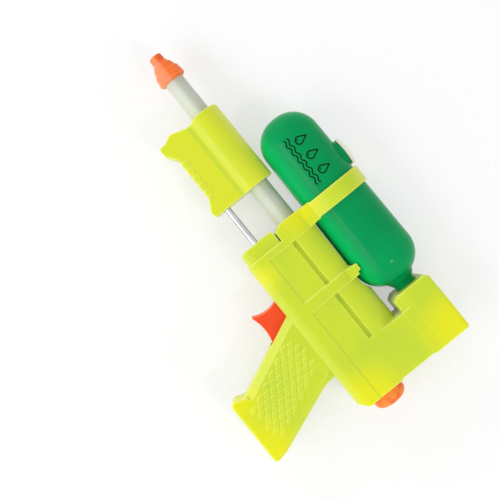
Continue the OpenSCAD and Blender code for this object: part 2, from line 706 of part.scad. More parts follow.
// Pump handle round the barrel
module handle_outline() smooth([[handle_x + 0.4, handle_top, 0.9], [handle_x + 0.5, -2.0, 4],
    [handle_x + 1.3, -4.6, 1.5], [handle_x - 0.2, -9.4, 1.3], [handle_x + 1.0, handle_floor - 0.3, 1],
    [handle_x + 0.9, -handle_drop, 0.8], [handle_x + 3.0, -handle_drop - 0.1, 0.8],
    [handle_x + 6.0, handle_floor - 0.1, 0.6], [handle_end - 4.8, handle_floor - 0.1, 0.3],
    [handle_end - 1.6, -handle_drop + 0.1, 0.7], [handle_end, -handle_drop + 0.4, 0.7],
    [handle_end, handle_top, 0.3]]);
module handle_section(inset) {
    translate([handle_y, 0]) circle(handle_round - inset);
    smooth([[inset - handle_drop - 1, inset - handle_hw, 0.7], [handle_y, inset - handle_hw, 0],
        [handle_y, handle_hw - inset, 0], [inset - handle_drop - 1, handle_hw - inset, 0.7]]);
}

// Row of finger bumps along the handle's lower edge, with a knuckle on each side
module bumps() for (i = [0:4]) let(x = handle_x + 7.95 + i * bump_pitch) {
    rod_z(1.25, -handle_hw + 0.4, handle_hw - 0.4, x, handle_floor + 0.85);
    sides() rod_z(0.95, handle_hw - 0.5, handle_hw + 0.2, x, handle_floor + 0.62);
}

module handle_whole() difference() {
    union() {
        intersection() {
            plate(-handle_round, handle_round) handle_outline();
            along(handle_x - 1, handle_end + 1) handle_section(0);
        }
        bumps();
    }
    // Space inside, up to the ribs that hold the rod and the bosses for the screws
    difference() {
        intersection() {
            along(handle_x + 2.4, handle_end - 1.2) handle_section(wall);
            bar(handle_x + 2.4, handle_end - 1.2, handle_floor + wall, handle_top, -handle_round, handle_round);
        }
        for (x = [leg_x - rod_r - 1.1, leg_x + rod_r + 0.1]) bar(x, x + 1, handle_floor, leg_top + 1, -6, 6);
        for (at = handle_screws_at) rod_z(boss_r, -handle_hw, handle_hw, at.x, at.y);
    }
    rod_x(barrel_r_rear + slide_fit, handle_x - 1, handle_end + 1);
    rod_x(rod_r + seat_fit, leg_x, handle_end + 1, pump_y);
    rod_y(rod_r + seat_fit, pump_y + rod_bend, leg_top + seat_fit, leg_x);
    bar(leg_x - rod_r - seat_fit, leg_x + rod_bend + 1, pump_y - rod_r - seat_fit, pump_y + rod_bend + 0.1,
        -rod_r - seat_fit, rod_r + seat_fit);
}

module handle_left() placed() color(shell_c) difference() {
    half_of(1) handle_whole();
    for (at = handle_screws_at) screw_holes(at, screw_tip + 0.3);
}

module handle_right() placed() color(shell_c) difference() {
    half_of(-1) handle_whole();
    for (at = handle_screws_at) screw_holes(at, 1);
}

// Steel rod, its front end bent up into the handle
module pump_rod() placed() color(steel_c) {
    rod_x(rod_r, leg_x + rod_bend, piston_x + piston_l - 0.7, pump_y);
    bend(leg_x + rod_bend, pump_y + rod_bend, 180, rod_bend) circle(rod_r);
    rod_y(rod_r, pump_y + rod_bend, leg_top, leg_x);
}

module piston() placed() color(pale_c) difference() {
    rod_x(bore_r - slide_fit, piston_x, piston_x + piston_l, pump_y);
    rod_x(rod_r + seat_fit, piston_x - 1, piston_x + piston_l - 0.7, pump_y);
    difference() {
        rod_x(bore_r + 1, piston_x + 0.8, piston_x + 1.7, pump_y);
        rod_x(bore_r - 0.84, piston_x, piston_x + piston_l, pump_y);
    }
}
module piston_seal() placed() color(rubber_c) ring(piston_x + 1.25, pump_y, bore_r - 0.43, 0.39);

module pump_cylinder() placed() color(pale_c) difference() {
    rod_x(pump_r, tube_front, pump_end, pump_y);
    rod_x(bore_r, tube_front - 1, pump_end + 1, pump_y);
}

module rod_gland() placed() color(pale_c) difference() {
    union() {
        rod_x(pump_r, gland_x, tube_front, pump_y);
        rod_x(bore_r - seat_fit, tube_front, chamber_x, pump_y);
    }
    rod_x(rod_r + 0.05, gland_x - 1, chamber_x + 1, pump_y);
    rod_x(rod_r + 0.85, tube_front + 0.2, tube_front + 1.1, pump_y);
}
module gland_seal() placed() color(rubber_c) ring(tube_front + 0.65, pump_y, rod_r + 0.44, 0.38);

// Rear end of the pump: inlet valve in its axis, outlet valve in the riser
module pump_head() placed() color(pale_c) difference() {
    union() {
        rod_x(head_r, pump_end - head_grip, pump_end + head_l, pump_y);
        rod_x(hose_in - seat_fit, pump_end + head_l, pump_end + head_l + 3.2, pump_y);
        rod_y(riser_r, pump_y, riser_top, riser_x);
    }
    rod_x(pump_r + seat_fit, pump_end - head_grip - 1, pump_end, pump_y);
    rod_x(port_r, pump_end - 1, pump_end + head_l, pump_y);
    rod_x(inlet_ball_r + slide_fit, pump_end + head_wall, inlet_x, pump_y);
    rod_x(hose_in - 0.4, pump_end + head_l - 1, pump_end + head_l + 4, pump_y);
    rod_y(port_r, pump_y, outlet_y, riser_x);
    rod_y(outlet_ball_r + slide_fit, outlet_y, riser_top + 1, riser_x);
}
module inlet_ball() placed() color(steel_c) ball(inlet_ball_r, inlet_ball_x, pump_y);
module outlet_ball() placed() color(steel_c) ball(outlet_ball_r, riser_x, outlet_ball_y);

module valve_body() placed() color(pale_c) difference() {
    union() {
        rod_x(barrel_r_rear - barrel_wall - seat_fit - 0.02, tube_end - 4, tube_end + 0.1);
        rod_x(valve_r, tube_end, valve_end);
        rod_y(outlet_ball_r + slide_fit - seat_fit, riser_top - 0.7, riser_top + 1, riser_x);
    }
    rod_x(chamber_r - 0.4, tube_end - 5, valve_seat + 1);
    rod_x(chamber_r, valve_seat, valve_end - 0.8);
    rod_x(stem_r + 0.05, valve_end - 1, valve_end + 1);
    rod_y(0.5, riser_top - 1, 0, riser_x);
}

module valve_plunger() placed() color(pale_c) union() {
    rod_x(chamber_r - 0.15, valve_seat + 0.05, valve_seat + 1.9);
    rod_x(stem_r, valve_seat + 1, bar_x + bar_l);
}
module plunger_seal() placed() color(rubber_c) ring(valve_end - 1.15, 0, stem_r + 0.32, 0.28);

// Trigger blade with its foot under the pump and the fork that pulls the valve plunger
module trigger() placed() color(trigger_c) difference() {
    union() {
        plate(-trigger_hw, trigger_hw) trigger_outline();
        bar(foot_front, foot_rear, trigger_top, trigger_top + trigger_foot, -fork_out, fork_out);
        sides() bar(arm_x, arm_x + arm_l, trigger_top, fork_h, fork_in, fork_out);
        sides() bar(arm_x, bar_x + bar_l, -fork_h, fork_h, fork_in, fork_out);
        bar(bar_x, bar_x + bar_l, -fork_h, fork_h, -fork_out, fork_out);
    }
    rod_x(stem_r + seat_fit, bar_x - 1, bar_x + bar_l + 1);
}

module trigger_outline() difference() {
    smooth([[foot_front, trigger_top + 0.5, 0], [trigger_x + 0.4, floor_y + 0.2, 0],
        [trigger_x - 0.4, -trigger_drop, 0.7], [trigger_x + 8.3, -trigger_drop, 0.7],
        [trigger_end, -trigger_drop + 2.4, 0.5], [trigger_end, floor_y - 0.4, 0.3],
        [foot_rear, floor_y - 0.4, 0], [foot_rear, trigger_top + 0.5, 0]]);
    translate([trigger_x + 1.4 - trigger_curve, (floor_y - trigger_drop) / 2 + 0.6]) circle(trigger_curve);
    translate([trigger_x + 4.8, 0.7 - trigger_drop - trigger_sole]) circle(trigger_sole);
}

// Helix of the trigger spring, one closed skin
spring_turns = 5;
spring_steps = 14;
spring_edges = 6;
function coil_point(step, edge) = let(turn = 360 * step / spring_steps, tilt = 360 * edge / spring_edges,
    r = spring_r + wire_r * cos(tilt), along = spring_x + wire_r + 0.03
        + (spring_l - 2 * wire_r - 0.06) * step / (spring_turns * spring_steps) + wire_r * sin(tilt))
    [along, r * cos(turn), r * sin(turn)];
module trigger_spring() placed() color(steel_c) {
    last = spring_turns * spring_steps;
    polyhedron(
        [for (s = [0:last]) for (e = [0:spring_edges - 1]) coil_point(s, e)],
        [[for (e = [0:spring_edges - 1]) e],
            for (s = [0:last - 1]) for (e = [0:spring_edges - 1]) let(f = (e + 1) % spring_edges)
                [s * spring_edges + e, (s + 1) * spring_edges + e,
                    (s + 1) * spring_edges + f, s * spring_edges + f],
            [for (e = [spring_edges - 1:-1:0]) last * spring_edges + e]]);
}

module rear_cap() placed() color(orange_c) difference() {
    union() {
        turned(rear_x, cap_y) smooth([[0, 0, 0], [cap_r, 0, 0], [cap_r, cap_l, 2.1], [0, cap_l, 0]]);
        rod_x(cap_hole, inside_rear - 0.2, rear_x + 0.1, cap_y);
        rod_x(cap_r, inside_rear - 1.2, inside_rear, cap_y);
    }
    bar(rear_x + cap_l - 0.8, rear_x + cap_l + 1, cap_y - cap_r, cap_y + cap_r, -0.5, 0.5);
}

body_left();
body_right();
body_screws();
tank();
filler_plug();
pickup_tube();
neck_seal();
neck_fitting();
suction_hose();
nozzle();
barrel_tube();
handle_left();
handle_right();
handle_screws();
pump_rod();
piston();
piston_seal();
pump_cylinder();
rod_gland();
gland_seal();
pump_head();
inlet_ball();
outlet_ball();
valve_body();
valve_plunger();
plunger_seal();
trigger();
trigger_spring();
rear_cap();
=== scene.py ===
"""Looks of the mini water squirter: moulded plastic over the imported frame, a pale floor and soft light.

Lengths in the tables are millimetres in the toy's own lines: x runs from the nozzle to the rear, y from the
barrel up to the tank, z out of the left side. at() turns them into the row frame, in metres.
"""

import math

import bpy
import bmesh
import numpy
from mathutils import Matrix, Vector
from mathutils.bvhtree import BVHTree
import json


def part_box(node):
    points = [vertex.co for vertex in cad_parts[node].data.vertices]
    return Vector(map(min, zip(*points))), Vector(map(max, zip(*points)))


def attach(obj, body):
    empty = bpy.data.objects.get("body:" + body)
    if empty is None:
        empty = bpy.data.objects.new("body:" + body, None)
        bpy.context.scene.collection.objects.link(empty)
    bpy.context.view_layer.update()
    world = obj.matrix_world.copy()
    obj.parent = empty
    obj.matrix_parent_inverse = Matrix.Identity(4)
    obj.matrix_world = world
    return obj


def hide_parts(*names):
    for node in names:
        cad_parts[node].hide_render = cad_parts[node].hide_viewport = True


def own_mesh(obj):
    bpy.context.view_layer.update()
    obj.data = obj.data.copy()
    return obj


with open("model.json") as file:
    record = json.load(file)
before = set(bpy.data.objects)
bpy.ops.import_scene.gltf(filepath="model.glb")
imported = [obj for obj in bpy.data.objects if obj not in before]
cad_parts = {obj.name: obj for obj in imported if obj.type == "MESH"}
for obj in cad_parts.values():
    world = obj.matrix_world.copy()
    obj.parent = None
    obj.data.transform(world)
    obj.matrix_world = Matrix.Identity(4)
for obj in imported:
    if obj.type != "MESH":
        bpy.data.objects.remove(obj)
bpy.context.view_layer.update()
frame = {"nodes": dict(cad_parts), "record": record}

MM = 0.001
NOZZLE_FRONT = 0.25
GRIP_DROP = 39.4
ORIGIN = Vector((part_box("nozzle")[0][0] - NOZZLE_FRONT * MM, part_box("body_left")[0][1] + GRIP_DROP * MM,
                 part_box("body_left")[0][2]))
BODY_OF = {node: body for body, nodes in frame["record"]["behaviour"]["bodies"].items() for node in nodes}
SLOT_OF = {part["node"]: part["material_slot"] for part in frame["record"]["subparts"]}


def at(x, y, z=0.0):
    return ORIGIN + Vector((x, y, z)) * MM


def link(name, data):
    made = bpy.data.objects.new(name, data)
    bpy.context.scene.collection.objects.link(made)
    return made


# Camera, over the toy, turned as the photograph shows it
VIEW_CENTRE = (52.3, -11.8)
VIEW_HEIGHT = 210.0
VIEW_ROLL = 51.0
PIXELS_WIDE = 499
PIXELS_PER_MM = 4.03
CLIP = (0.005, 20.0)


def make_camera():
    data = bpy.data.cameras.new("Camera")
    camera = link("Camera", data)
    camera.location = at(*VIEW_CENTRE, VIEW_HEIGHT)
    camera.rotation_euler = (0, 0, math.radians(VIEW_ROLL))
    data.sensor_fit = "HORIZONTAL"
    data.angle = 2 * math.atan(PIXELS_WIDE / PIXELS_PER_MM / 2 / VIEW_HEIGHT)
    data.clip_start, data.clip_end = CLIP
    bpy.context.scene.camera = camera


# Node groups that the materials share

def new_group(name, inputs, outputs):
    group = bpy.data.node_groups.new(name, "ShaderNodeTree")
    for label, kind, value in inputs:
        socket = group.interface.new_socket(label, in_out="INPUT", socket_type=kind)
        socket.default_value = value
    for label, kind in outputs:
        group.interface.new_socket(label, in_out="OUTPUT", socket_type=kind)
    return group, group.nodes.new("NodeGroupInput"), group.nodes.new("NodeGroupOutput")


class Tree:
    """Short calls for building a node tree."""

    def __init__(self, tree):
        self.tree = tree

    def node(self, kind, values=None, **settings):
        node = self.tree.nodes.new("ShaderNode" + kind)
        for key, value in settings.items():
            setattr(node, key, value)
        for key, value in (values or {}).items():
            socket = node.inputs[key]
            if hasattr(value, "is_output"):
                self.tree.links.new(value, socket)
            else:
                socket.default_value = value
        return node

    def math(self, operation, a, b=0.0):
        return self.node("Math", {0: a, 1: b}, operation=operation).outputs[0]

    def mix(self, factor, a, b):
        """Colour a where factor is 0 and colour b where it is 1 (the Mix node's colour sockets)."""
        return self.node("Mix", {0: factor, 6: a, 7: b}, data_type="RGBA").outputs[2]

    def ramp(self, factor, low, high):
        return self.node("MapRange", {"Value": factor, "From Min": low, "From Max": high},
                         interpolation_type="SMOOTHSTEP").outputs[0]


# Height of the flow lines and depth of the scratches, where the grain's height is 1
WAVES_SHARE = 1.6
SCRATCH_DEPTH = 0.8
# Scratches: turn and scale of their two sets, how much they are drawn out, their width, and the span of the
# noise over which they begin to show, in patches
SCRATCH_SETS = ((0.6, 420.0), (2.1, 360.0))
SCRATCH_STRETCH = (1.0, 0.06, 1.0)
SCRATCH_WIDTH = 0.012
SCRATCH_PATCHES = (0.56, 0.7)


def moulded_group():
    """Surface of moulded plastic: a slow mottle, fine grain, flow lines and sparse fine scratches."""
    group, source, result = new_group(
        "MouldedSurface",
        [("Mottle Scale", "NodeSocketFloat", 90.0), ("Grain Scale", "NodeSocketFloat", 2600.0),
         ("Grain Height", "NodeSocketFloat", 0.00002), ("Scratch Amount", "NodeSocketFloat", 0.3)],
        [("Mottle", "NodeSocketFloat"), ("Scratch", "NodeSocketFloat"), ("Normal", "NodeSocketVector")])
    t = Tree(group)
    place = t.node("TexCoord").outputs["Object"]
    mottle = t.node("TexNoise", {"Vector": place, "Scale": source.outputs["Mottle Scale"], "Detail": 3.0,
                                 "Roughness": 0.55}).outputs["Fac"]
    grain = t.node("TexNoise", {"Vector": place, "Scale": source.outputs["Grain Scale"], "Detail": 2.0,
                                "Roughness": 0.6}).outputs["Fac"]
    waves = t.node("TexNoise", {"Vector": place, "Scale": 240.0, "Detail": 1.0}).outputs["Fac"]
    strands = None
    for turn, scale in SCRATCH_SETS:
        turned = t.node("Mapping", {"Vector": place, "Rotation": (0.2, 0.1, turn),
                                    "Scale": SCRATCH_STRETCH})
        cells = t.node("TexVoronoi", {"Vector": turned.outputs[0], "Scale": scale},
                       feature="DISTANCE_TO_EDGE").outputs["Distance"]
        line = t.math("SUBTRACT", 1.0, t.ramp(cells, 0.0, SCRATCH_WIDTH))
        strands = line if strands is None else t.math("MAXIMUM", strands, line)
    patch = t.node("TexNoise", {"Vector": place, "Scale": 160.0, "Detail": 2.0}).outputs["Fac"]
    patch = t.ramp(patch, *SCRATCH_PATCHES)
    scratch = t.math("MULTIPLY", t.math("MULTIPLY", strands, patch), source.outputs["Scratch Amount"])
    height = t.math("ADD", grain, t.math("MULTIPLY", waves, WAVES_SHARE))
    height = t.math("SUBTRACT", height, t.math("MULTIPLY", scratch, SCRATCH_DEPTH))
    bump = t.node("Bump", {"Strength": 0.6, "Distance": source.outputs["Grain Height"], "Height": height})
    group.links.new(mottle, result.inputs["Mottle"])
    group.links.new(scratch, result.inputs["Scratch"])
    group.links.new(bump.outputs[0], result.inputs["Normal"])
    return group


# Curvature under this value counts as flat
CURVATURE_START = 0.005


# Masks for painted highlights on outer edges and painted shade in hollows
def highlight_and_shade_group():
    """How much a point lies on an outer edge or in a hollow, from the curvature that keep_curvature()
    stores.
    """
    group, source, result = new_group(
        "PaintedHighlightAndShade", [("Spread", "NodeSocketFloat", 0.06)],
        [("Edge", "NodeSocketFloat"), ("Hollow", "NodeSocketFloat")])
    t = Tree(group)
    curvature = t.node("Attribute", attribute_name="curvature").outputs["Fac"]
    below = t.math("MULTIPLY", curvature, -1.0)
    spread = source.outputs["Spread"]
    edge = t.node("MapRange", {"Value": curvature, "From Min": CURVATURE_START, "From Max": spread}).outputs[0]
    hollow = t.node("MapRange", {"Value": below, "From Min": CURVATURE_START, "From Max": spread}).outputs[0]
    group.links.new(edge, result.inputs["Edge"])
    group.links.new(hollow, result.inputs["Hollow"])
    return group


MOULDED = moulded_group()
HIGHLIGHT_AND_SHADE = highlight_and_shade_group()

# Materials

# Span of the mottle's noise over which the main colour turns to the shade
MOTTLE_SPAN = (0.35, 0.68)
# Spans of the normal's part out of the flat side, over which a flank loses the painted sheen of the edge
# colour, and of its part towards the nozzle, over which a bevel takes it
FLANK_SPAN = (0.5, 0.95)
BEVEL_SPAN = (0.1, 0.36)
# Height of the middle of each painted pool of light in the toy's lines, and the share of its reach that
# has the full colour
LIGHT_SPOT_HEIGHT = 5
LIGHT_SPOT_CORE = 0.15
# How strongly hollows take the painted shade and scratches their colour, and how far mottle, scratches
# and the steel's drawing lines change the roughness
HOLLOW_SHADE_MIX = 0.6
SCRATCH_MIX = 0.35
MOTTLE_ROUGH = 0.16
SCRATCH_ROUGH = 0.2
DRAWN_ROUGH = 0.06
# Stains on steel: the span of their noise, and their share of its colour
STAIN_SPAN = (0.45, 0.75)
STAIN_SHARE = 0.8


def rgb(r, g, b):
    """A screen colour (0 to 255) as linear light."""
    def linear(v):
        v /= 255
        return v / 12.92 if v <= 0.04045 else ((v + 0.055) / 1.055) ** 2.4
    return (linear(r), linear(g), linear(b), 1.0)


def new_material(name):
    """An empty node material and its tree."""
    material = bpy.data.materials.new(name)
    material.use_nodes = True
    material.node_tree.nodes.clear()
    return material, Tree(material.node_tree)


def plastic(name, main, shade, edge, rough, grain=0.00002, scratches=0.3, sss=0.0, sss_radius=(1, 1, 1),
            sss_scale=0.001, spread=0.06, mottle_scale=90.0, painted_light_spots=(), painted_shading_bands=(), sheen=0.5, edge_highlight_mix=0.7,
            painted_sheen_mix=0.0):
    """Moulded plastic: main colour, the colour of its mottle and hollows, and that of its edges.

    glow is (x, y, reach mm, colour): painted pools of light, places in the toy's lines where the plastic is
    painted brighter. blends are (y where it starts, y where it is full, colour): painted light and shade,
    colours that it takes on towards its lower side. painted_sheen_mix is how much of the edge colour its
    flanks and its bevels towards the nozzle take on, as painted sheen. Hollows take the shade colour as
    painted shade, and outer edges take the edge colour by edge_highlight_mix, as painted highlights.
    """
    material, t = new_material(name)
    surface = t.node("Group", {"Mottle Scale": mottle_scale, "Grain Height": grain,
                               "Scratch Amount": scratches}, node_tree=MOULDED)
    curvature = t.node("Group", {"Spread": spread}, node_tree=HIGHLIGHT_AND_SHADE)
    colour = t.mix(t.ramp(surface.outputs["Mottle"], *MOTTLE_SPAN), main, shade)
    place = t.node("TexCoord").outputs["Object"]
    # Painted light: pools of brighter, yellower colour where the part is lit strongest
    for x, y, reach, bright in painted_light_spots:
        middle = tuple(at(x, y, LIGHT_SPOT_HEIGHT))
        far = t.node("VectorMath", {0: place, 1: middle}, operation="DISTANCE").outputs["Value"]
        near = t.math("SUBTRACT", 1.0, t.ramp(far, LIGHT_SPOT_CORE * reach * MM, reach * MM))
        colour = t.mix(near, colour, bright)
    # Painted light and shade, in bands towards the part's lower side
    for start, full, lower in painted_shading_bands:
        height = t.node("SeparateXYZ", {0: place}).outputs["Y"]
        below = t.math("SUBTRACT", 1.0, t.ramp(height, at(0, full).y, at(0, start).y))
        colour = t.mix(below, colour, lower)
    # Painted sheen: steep flanks and bevels towards the nozzle take on the pale edge colour of a reflection
    if painted_sheen_mix:
        normal = t.node("SeparateXYZ", {0: t.node("TexCoord").outputs["Normal"]}).outputs
        flank = t.math("SUBTRACT", 1.0, t.ramp(t.math("ABSOLUTE", normal["Z"]), *FLANK_SPAN))
        front = t.ramp(t.math("MULTIPLY", normal["X"], -1.0), *BEVEL_SPAN)
        colour = t.mix(t.math("MULTIPLY", t.math("MAXIMUM", flank, front), painted_sheen_mix), colour, edge)
    # Painted shade: hollows darkened towards the shade colour
    colour = t.mix(t.math("MULTIPLY", curvature.outputs["Hollow"], HOLLOW_SHADE_MIX), colour, shade)
    # Painted highlight: outer edges paled towards the edge colour
    colour = t.mix(t.math("MULTIPLY", curvature.outputs["Edge"], edge_highlight_mix), colour, edge)
    colour = t.mix(t.math("MULTIPLY", surface.outputs["Scratch"], SCRATCH_MIX), colour, edge)
    roughness = t.math("ADD", t.math("MULTIPLY", surface.outputs["Mottle"], MOTTLE_ROUGH),
                       t.math("MULTIPLY", surface.outputs["Scratch"], SCRATCH_ROUGH))
    roughness = t.math("ADD", roughness, rough - MOTTLE_ROUGH / 2)
    shader = t.node("BsdfPrincipled", {"Base Color": colour, "Roughness": roughness,
                                       "Normal": surface.outputs["Normal"], "IOR": 1.5,
                                       "Specular IOR Level": sheen})
    if sss:
        shader.inputs["Subsurface Weight"].default_value = sss
        shader.inputs["Subsurface Radius"].default_value = sss_radius
        shader.inputs["Subsurface Scale"].default_value = sss_scale
    t.node("OutputMaterial", {"Surface": shader.outputs[0]})
    return material


def metal(name, colour, rough, drawn=(0.02, 1.0, 1.0)):
    """Bright steel with fine drawing lines along one direction."""
    material, t = new_material(name)
    place = t.node("TexCoord").outputs["Object"]
    along = t.node("Mapping", {"Vector": place, "Scale": drawn}).outputs[0]
    lines = t.node("TexNoise", {"Vector": along, "Scale": 9000.0, "Detail": 3.0}).outputs["Fac"]
    stain = t.node("TexNoise", {"Vector": place, "Scale": 300.0}).outputs["Fac"]
    stained = tuple(c * STAIN_SHARE for c in colour[:3]) + (1.0,)
    tone = t.mix(t.ramp(stain, *STAIN_SPAN), colour, stained)
    roughness = t.math("ADD", t.math("MULTIPLY", lines, DRAWN_ROUGH), rough - DRAWN_ROUGH / 2)
    bump = t.node("Bump", {"Strength": 0.12, "Distance": 0.000004, "Height": lines}).outputs[0]
    shader = t.node("BsdfPrincipled", {"Base Color": tone, "Roughness": roughness, "Metallic": 1.0,
                                       "Normal": bump})
    t.node("OutputMaterial", {"Surface": shader.outputs[0]})
    return material


LIME = rgb(199, 215, 50)
LIME_SHADE = rgb(190, 211, 54)
# Pale colour of the painted edge highlights and painted sheen, and of the scratches
LIME_EDGE = rgb(238, 240, 124)
YELLOW = rgb(224, 224, 26)
HANDLE_LIME = rgb(212, 219, 38)
HANDLE_SHADE = rgb(204, 216, 44)
# Painted pools of light on the shell and the handle: (x, y, reach mm, colour)
SHELL_PAINTED_LIGHT = [(79, -38, 9, YELLOW), (87, -41, 9, rgb(216, 221, 38)), (95, -39, 12, YELLOW),
              (99, -11, 12, YELLOW), (97, 16, 12, YELLOW), (60, -13, 6, rgb(220, 224, 44)),
              (51, 4, 10, YELLOW)]
HANDLE_PAINTED_LIGHT = [(19, -11, 9, YELLOW), (38, -12, 8, YELLOW)]
# The soft plastics' translucency, and how much painted sheen their flanks and bevels take on
SOFT = {"sss": 0.25, "sss_radius": (1.0, 1.0, 0.25), "sss_scale": 0.0012, "painted_sheen_mix": 0.35}
MATERIALS = {
    "shell": plastic("shell_plastic", LIME, LIME_SHADE, LIME_EDGE, 0.34, painted_light_spots=SHELL_PAINTED_LIGHT,
                     sheen=0.2, **SOFT),
    # Handle: painted pools of light, and bands that paint a shade line under its round top
    "handle": plastic("handle_plastic", HANDLE_LIME, HANDLE_SHADE, LIME_EDGE, 0.34, painted_light_spots=HANDLE_PAINTED_LIGHT,
                      sheen=0.35, painted_shading_bands=((-4.1, -4.6, LIME_SHADE), (-4.8, -5.4, HANDLE_LIME)), **SOFT),
    # Tank: its lower third is painted lighter, where light falls on it
    "tank": plastic("tank_plastic", rgb(0, 152, 84), rgb(0, 144, 80), rgb(0, 184, 104), 0.2,
                    mottle_scale=60.0, scratches=0.15, edge_highlight_mix=0.25, sheen=0.08,
                    painted_shading_bands=((9.5, 6.5, rgb(0, 176, 94)),),
                    sss=0.1, sss_radius=(0.1, 1.0, 0.5), sss_scale=0.001),
    # Nozzle: its lower half is painted lighter, where light falls on it
    "nozzle": plastic("nozzle_plastic", rgb(250, 122, 52), rgb(226, 94, 38), rgb(255, 170, 116), 0.32,
                      spread=0.03, painted_shading_bands=((0.4, -0.6, rgb(242, 142, 98)),), sheen=0.2,
                      sss=0.2, sss_radius=(1.0, 0.5, 0.2), sss_scale=0.001),
    "cap": plastic("cap_plastic", rgb(248, 142, 58), rgb(236, 92, 40), rgb(255, 166, 100), 0.28,
                   mottle_scale=420.0, sheen=0.2,
                   sss=0.2, sss_radius=(1.0, 0.5, 0.2), sss_scale=0.001),
    "trigger": plastic("trigger_plastic", rgb(242, 86, 42), rgb(236, 76, 38), rgb(255, 150, 104), 0.34,
                       spread=0.03, sheen=0.1,
                       sss=0.15, sss_radius=(1.0, 0.5, 0.2), sss_scale=0.001),
    # Barrel: its lower half is painted lighter, as its lit side
    "barrel": plastic("barrel_plastic", rgb(195, 198, 186), rgb(189, 193, 180), rgb(232, 236, 228), 0.36,
                      painted_shading_bands=((0.5, -0.5, rgb(211, 216, 203)),),
                      scratches=0.5, sheen=0.25, sss=0.2, sss_radius=(1.0, 1.0, 0.9), sss_scale=0.0006),
    "plug": plastic("plug_plastic", rgb(232, 228, 212), rgb(224, 218, 200), rgb(244, 242, 232), 0.45,
                    sss=0.2, sss_scale=0.001),
    "inner": plastic("inner_plastic", rgb(226, 226, 218), rgb(216, 217, 208), rgb(238, 238, 232), 0.42),
    "hose": plastic("hose_rubber", rgb(214, 216, 206), rgb(202, 205, 194), rgb(226, 228, 220), 0.5),
    "seal": plastic("seal_rubber", rgb(34, 34, 36), rgb(28, 28, 30), rgb(52, 52, 54), 0.6, scratches=0.1),
    "steel": metal("drawn_steel", (0.62, 0.63, 0.65, 1.0), 0.08),
    "print": plastic("black_print", rgb(8, 16, 13), rgb(6, 12, 10), rgb(20, 34, 28), 0.5,
                     scratches=0.4, sheen=0.06),
}


# Pieces

def dress(piece, material, body, slot, *nodes):
    piece.data.materials.clear()
    piece.data.materials.append(MATERIALS[material])
    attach(piece, body)
    if nodes:
        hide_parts(*nodes)


def applied(piece, modifiers):
    """Replaces the piece's mesh by what its modifiers make of it."""
    for kind, settings in modifiers:
        modifier = piece.modifiers.new(kind.lower(), kind)
        for key, value in settings.items():
            setattr(modifier, key, value)
    made = piece.evaluated_get(bpy.context.evaluated_depsgraph_get())
    mesh = bpy.data.meshes.new_from_object(made)
    mesh.name = piece.name
    old = piece.data
    piece.modifiers.clear()
    piece.data = mesh
    bpy.data.meshes.remove(old)
    mesh.shade_smooth()


# The raised diamonds on the grip: centre, half width and half length of their field and its turn in
# degrees, in the toy's lines, and how far out of the middle they begin
PADS = (83.4, -26.4, 6.3, 11.9, 25.3, 4.4)
PAD_ROUNDS = 8


def on_pads(place):
    x, y, half_width, half_length, turn, out = PADS
    away = (place - at(x, y)) / MM
    c, s = math.cos(math.radians(turn)), math.sin(math.radians(turn))
    return (abs(away.z) > out and abs(away.x * c + away.y * s) < half_width
            and abs(away.y * c - away.x * s) < half_length)


# Curvature of the mesh, from which the plastics paint highlights on outer edges and shade in hollows
def keep_curvature(mesh, rounds=2):
    """Stores as "wear" how far each vertex stands out of its neighbours, or with a minus lies below them."""
    count, pairs = len(mesh.vertices), numpy.empty(len(mesh.edges) * 2, dtype=numpy.int64)
    mesh.edges.foreach_get("vertices", pairs)
    a, b = pairs.reshape(-1, 2).T
    links = numpy.bincount(a, minlength=count) + numpy.bincount(b, minlength=count)
    places, normals = numpy.empty(count * 3), numpy.empty(count * 3)
    mesh.vertices.foreach_get("co", places)
    mesh.vertices.foreach_get("normal", normals)
    places, normals = places.reshape(-1, 3), normals.reshape(-1, 3)
    way = places[b] - places[a]
    way /= numpy.maximum(numpy.linalg.norm(way, axis=1), 1e-9)[:, None]
    out = numpy.bincount(b, (way * normals[b]).sum(1), count)
    out -= numpy.bincount(a, (way * normals[a]).sum(1), count)
    out /= links * math.pi
    for _ in range(rounds):
        near = numpy.bincount(a, out[b], count) + numpy.bincount(b, out[a], count)
        out = (out + near) / (links + 1)
    mesh.attributes.new("curvature", "FLOAT", "POINT").data.foreach_set("value", out.astype(numpy.float32))


def soften(node, voxel, rounds, material=None):
    """Stands for a CAD node: the same solid with the soft edges of a moulding."""
    piece = link(node + "_moulded", frame["nodes"][node].data.copy())
    applied(piece, [("REMESH", {"mode": "VOXEL", "voxel_size": voxel * MM}),
                    ("SMOOTH", {"factor": 0.5, "iterations": rounds})])
    if node in ("body_left", "body_right"):
        pads = piece.vertex_groups.new(name="pads")
        pads.add([v.index for v in piece.data.vertices if on_pads(v.co)], 1.0, "REPLACE")
        applied(piece, [("SMOOTH", {"factor": 0.5, "iterations": PAD_ROUNDS, "vertex_group": "pads"})])
        piece.vertex_groups.clear()
    keep_curvature(piece.data)
    dress(piece, material or SLOT_OF[node], BODY_OF[node], SLOT_OF[node], node)
    return piece


# node: (voxel mm, smoothing rounds, material if it isn't the slot's)
SOFT_NODES = {
    "body_left": (0.14, 8, None), "body_right": (0.14, 8, None),
    "handle_left": (0.12, 4, "handle"), "handle_right": (0.12, 4, "handle"),
    "tank": (0.22, 8, None), "nozzle": (0.08, 2, None), "trigger": (0.1, 4, None),
    "rear_cap": (0.1, 3, None), "filler_plug": (0.1, 3, None),
}


# The trigger spring's wire: its turns, steps in a turn, corners of its section and their radius
SPRING_TURNS = 5
SPRING_STEPS = 24
WIRE_EDGES = 10
WIRE_RADIUS = 0.2 * MM


